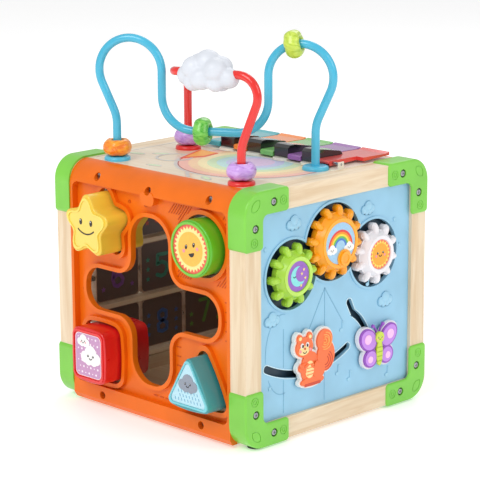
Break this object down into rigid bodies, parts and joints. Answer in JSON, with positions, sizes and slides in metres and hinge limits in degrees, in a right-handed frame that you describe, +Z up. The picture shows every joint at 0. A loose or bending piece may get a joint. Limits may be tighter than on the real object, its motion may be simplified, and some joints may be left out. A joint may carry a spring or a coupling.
{
  "type": "baby activity cube",
  "caption": "Wooden-framed play cube with sorter blocks, meshing picture gears, sliders, turning number tiles, piano keys and bead wires on top.",
  "frame": {"origin": "the ground under the cube's centre", "axes": "+Z up, +X out of the gear side, -Y out of the shape sorter, -X the number tiles"},
  "size_m": [0.298, 0.298, 0.4109],
  "materials": {
    "pine": "oiled",
    "board_wood": "satin",
    "green_plastic": "satin",
    "screw_steel": "bright",
    "orange_plastic": "gloss",
    "star_yellow": "gloss",
    "leaf_green": "gloss",
    "block_red": "gloss",
    "block_teal": "gloss",
    "panel_blue": "satin",
    "slate_plastic": "satin",
    "gear_orange": "gloss",
    "gear_lime": "gloss",
    "gear_white": "gloss",
    "squirrel": "gloss",
    "butterfly": "gloss",
    "wire_blue": "gloss",
    "wire_red": "gloss",
    "bead_orange": "gloss",
    "bead_lilac": "gloss",
    "bead_green": "gloss",
    "bead_lime": "gloss",
    "cloud_white": "gloss",
    "cream_plastic": "gloss",
    "key_teal": "gloss",
    "key_orange": "gloss",
    "key_green": "gloss",
    "key_purple": "gloss",
    "key_red": "gloss",
    "key_black": "gloss",
    "tile_wood": "satin",
    "board_green": "matte",
    "cell": "gloss",
    "foot_rubber": "matte"
  },
  "bodies": {
    "cube": {"back_panel": "orange_plastic", "batteries": "cell", "battery_box": "slate_plastic", "battery_door": "orange_plastic", "bead_wire_blue": "wire_blue", "bead_wire_red": "wire_red", "bottom_board": "board_wood", "circuit_board": "board_green", "corner_brackets": "green_plastic", "corner_posts": "pine", "cross_rails": "pine", "frame_screws": "screw_steel", "front_panel": "orange_plastic", "gear_backplate": "slate_plastic", "key_hinge_rod": "screw_steel", "keyboard_bed": "cream_plastic", "panel_screws": "screw_steel", "rubber_feet": "foot_rubber", "side_panel": "panel_blue", "side_rails": "pine", "speaker": "slate_plastic", "tile_bars": "pine", "tile_rods": "screw_steel", "top_board": "board_wood", "wire_cups_blue": "wire_blue", "wire_cups_red": "wire_red"},
    "gear_orange": {"gear_orange": "gear_orange"},
    "gear_green": {"gear_green": "gear_lime"},
    "gear_white": {"gear_white": "gear_white"},
    "squirrel": {"squirrel_slider": "squirrel"},
    "butterfly": {"butterfly_slider": "butterfly"},
    "star_block": {"star_block": "star_yellow"},
    "round_block": {"round_block": "leaf_green"},
    "square_block": {"square_block": "block_red"},
    "triangle_block": {"triangle_block": "block_teal"},
    "bead_orange": {"bead_orange": "bead_orange"},
    "bead_lilac_front": {"bead_lilac_front": "bead_lilac"},
    "bead_lilac_back": {"bead_lilac_back": "bead_lilac"},
    "bead_green": {"bead_green": "bead_green"},
    "bead_lime": {"bead_lime": "bead_lime"},
    "cloud_bead": {"cloud_bead": "cloud_white"},
    "key_teal": {"key_teal": "key_teal"},
    "key_orange": {"key_orange": "key_orange"},
    "key_green": {"key_green": "key_green"},
    "key_purple": {"key_purple": "key_purple"},
    "key_red": {"key_red": "key_red"},
    "black_key_1": {"black_key_1": "key_black"},
    "black_key_2": {"black_key_2": "key_black"},
    "black_key_3": {"black_key_3": "key_black"},
    "black_key_4": {"black_key_4": "key_black"},
    "number_tile_1": {"number_tile_1": "tile_wood"},
    "number_tile_2": {"number_tile_2": "tile_wood"},
    "number_tile_3": {"number_tile_3": "tile_wood"},
    "number_tile_4": {"number_tile_4": "tile_wood"},
    "number_tile_5": {"number_tile_5": "tile_wood"},
    "number_tile_6": {"number_tile_6": "tile_wood"},
    "number_tile_7": {"number_tile_7": "tile_wood"},
    "number_tile_8": {"number_tile_8": "tile_wood"},
    "number_tile_9": {"number_tile_9": "tile_wood"},
    "power_switch": {"power_switch": "slate_plastic"}
  },
  "joints": [
    {"name": "gear_orange_spin", "type": "hinge", "parent": "cube", "child": "gear_orange", "pos_m": [0.143, -0.0055, 0.197], "axis": [1, 0, 0], "continuous": true},
    {"name": "gear_green_spin", "type": "hinge", "parent": "cube", "child": "gear_green", "pos_m": [0.143, -0.0675, 0.1733], "axis": [1, 0, 0], "continuous": true},
    {"name": "gear_white_spin", "type": "hinge", "parent": "cube", "child": "gear_white", "pos_m": [0.143, 0.0565, 0.1745], "axis": [1, 0, 0], "continuous": true},
    {"name": "squirrel_slide", "type": "hinge", "parent": "cube", "child": "squirrel", "pos_m": [0.141, -0.0425, 0.1955], "axis": [-1, 0, 0], "range_deg": [-9, 18]},
    {"name": "butterfly_slide", "type": "hinge", "parent": "cube", "child": "butterfly", "pos_m": [0.141, -0.004, 0.068], "axis": [1, 0, 0], "range_deg": [-8, 34]},
    {"name": "star_block_push", "type": "slide", "parent": "cube", "child": "star_block", "axis": [0, -1, 0], "range_m": [-0.02, 0.07]},
    {"name": "round_block_push", "type": "slide", "parent": "cube", "child": "round_block", "axis": [0, -1, 0], "range_m": [-0.012, 0.07]},
    {"name": "square_block_push", "type": "slide", "parent": "cube", "child": "square_block", "axis": [0, -1, 0], "range_m": [-0.015, 0.07]},
    {"name": "triangle_block_push", "type": "slide", "parent": "cube", "child": "triangle_block", "axis": [0, -1, 0], "range_m": [-0.018, 0.07]},
    {"name": "bead_orange_slide", "type": "slide", "parent": "cube", "child": "bead_orange", "axis": [0, 0, 1], "range_m": [0, 0.016]},
    {"name": "bead_lilac_front_slide", "type": "slide", "parent": "cube", "child": "bead_lilac_front", "axis": [0, 0, 1], "range_m": [0, 0.007]},
    {"name": "bead_lilac_back_slide", "type": "slide", "parent": "cube", "child": "bead_lilac_back", "axis": [0, 0, 1], "range_m": [0, 0.036]},
    {"name": "bead_green_slide", "type": "slide", "parent": "cube", "child": "bead_green", "axis": [0.8722, 0.4892, 0], "range_m": [0, 0.027]},
    {"name": "bead_lime_slide", "type": "hinge", "parent": "cube", "child": "bead_lime", "pos_m": [0.08704, 0.00117, 0.361], "axis": [0.4892, -0.8722, 0], "range_deg": [-85, 60]},
    {"name": "cloud_bead_spin", "type": "hinge", "parent": "cube", "child": "cloud_bead", "pos_m": [0.06184, -0.10616, 0.37439], "axis": [-0.9778, -0.2081, -0.0232], "continuous": true},
    {"name": "key_teal_press", "type": "hinge", "parent": "cube", "child": "key_teal", "pos_m": [0, 0.027, 0.2704], "axis": [-1, 0, 0], "range_deg": [0, 1.8], "stiffness_Nm_per_rad": 0.5, "springref_deg": -3.44},
    {"name": "key_orange_press", "type": "hinge", "parent": "cube", "child": "key_orange", "pos_m": [0, 0.027, 0.2704], "axis": [-1, 0, 0], "range_deg": [0, 1.8], "stiffness_Nm_per_rad": 0.5, "springref_deg": -3.44},
    {"name": "key_green_press", "type": "hinge", "parent": "cube", "child": "key_green", "pos_m": [0, 0.027, 0.2704], "axis": [-1, 0, 0], "range_deg": [0, 1.8], "stiffness_Nm_per_rad": 0.5, "springref_deg": -3.44},
    {"name": "key_purple_press", "type": "hinge", "parent": "cube", "child": "key_purple", "pos_m": [0, 0.027, 0.2704], "axis": [-1, 0, 0], "range_deg": [0, 1.8], "stiffness_Nm_per_rad": 0.5, "springref_deg": -3.44},
    {"name": "key_red_press", "type": "hinge", "parent": "cube", "child": "key_red", "pos_m": [0, 0.027, 0.2704], "axis": [-1, 0, 0], "range_deg": [0, 1.8], "stiffness_Nm_per_rad": 0.5, "springref_deg": -3.44},
    {"name": "black_key_1_press", "type": "hinge", "parent": "cube", "child": "black_key_1", "pos_m": [0, 0.027, 0.2704], "axis": [-1, 0, 0], "range_deg": [0, 2.4], "stiffness_Nm_per_rad": 0.5, "springref_deg": -3.44},
    {"name": "black_key_2_press", "type": "hinge", "parent": "cube", "child": "black_key_2", "pos_m": [0, 0.027, 0.2704], "axis": [-1, 0, 0], "range_deg": [0, 2.4], "stiffness_Nm_per_rad": 0.5, "springref_deg": -3.44},
    {"name": "black_key_3_press", "type": "hinge", "parent": "cube", "child": "black_key_3", "pos_m": [0, 0.027, 0.2704], "axis": [-1, 0, 0], "range_deg": [0, 2.4], "stiffness_Nm_per_rad": 0.5, "springref_deg": -3.44},
    {"name": "black_key_4_press", "type": "hinge", "parent": "cube", "child": "black_key_4", "pos_m": [0, 0.027, 0.2704], "axis": [-1, 0, 0], "range_deg": [0, 2.4], "stiffness_Nm_per_rad": 0.5, "springref_deg": -3.44},
    {"name": "number_tile_1_spin", "type": "hinge", "parent": "cube", "child": "number_tile_1", "pos_m": [-0.132, -0.066, 0.191], "axis": [0, 1, 0], "continuous": true},
    {"name": "number_tile_2_spin", "type": "hinge", "parent": "cube", "child": "number_tile_2", "pos_m": [-0.132, 0, 0.191], "axis": [0, 1, 0], "continuous": true},
    {"name": "number_tile_3_spin", "type": "hinge", "parent": "cube", "child": "number_tile_3", "pos_m": [-0.132, 0.066, 0.191], "axis": [0, 1, 0], "continuous": true},
    {"name": "number_tile_4_spin", "type": "hinge", "parent": "cube", "child": "number_tile_4", "pos_m": [-0.132, -0.066, 0.1265], "axis": [0, 1, 0], "continuous": true},
    {"name": "number_tile_5_spin", "type": "hinge", "parent": "cube", "child": "number_tile_5", "pos_m": [-0.132, 0, 0.1265], "axis": [0, 1, 0], "continuous": true},
    {"name": "number_tile_6_spin", "type": "hinge", "parent": "cube", "child": "number_tile_6", "pos_m": [-0.132, 0.066, 0.1265], "axis": [0, 1, 0], "continuous": true},
    {"name": "number_tile_7_spin", "type": "hinge", "parent": "cube", "child": "number_tile_7", "pos_m": [-0.132, -0.066, 0.062], "axis": [0, 1, 0], "continuous": true},
    {"name": "number_tile_8_spin", "type": "hinge", "parent": "cube", "child": "number_tile_8", "pos_m": [-0.132, 0, 0.062], "axis": [0, 1, 0], "continuous": true},
    {"name": "number_tile_9_spin", "type": "hinge", "parent": "cube", "child": "number_tile_9", "pos_m": [-0.132, 0.066, 0.062], "axis": [0, 1, 0], "continuous": true},
    {"name": "power_switch_slide", "type": "slide", "parent": "cube", "child": "power_switch", "axis": [0, 0, 1], "range_m": [0, 0.008]}
  ],
  "couplings": [
    {"joint": "gear_green_spin", "follows": "gear_orange_spin", "ratio": -1.2},
    {"joint": "gear_white_spin", "follows": "gear_orange_spin", "ratio": -1.2}
  ]
}
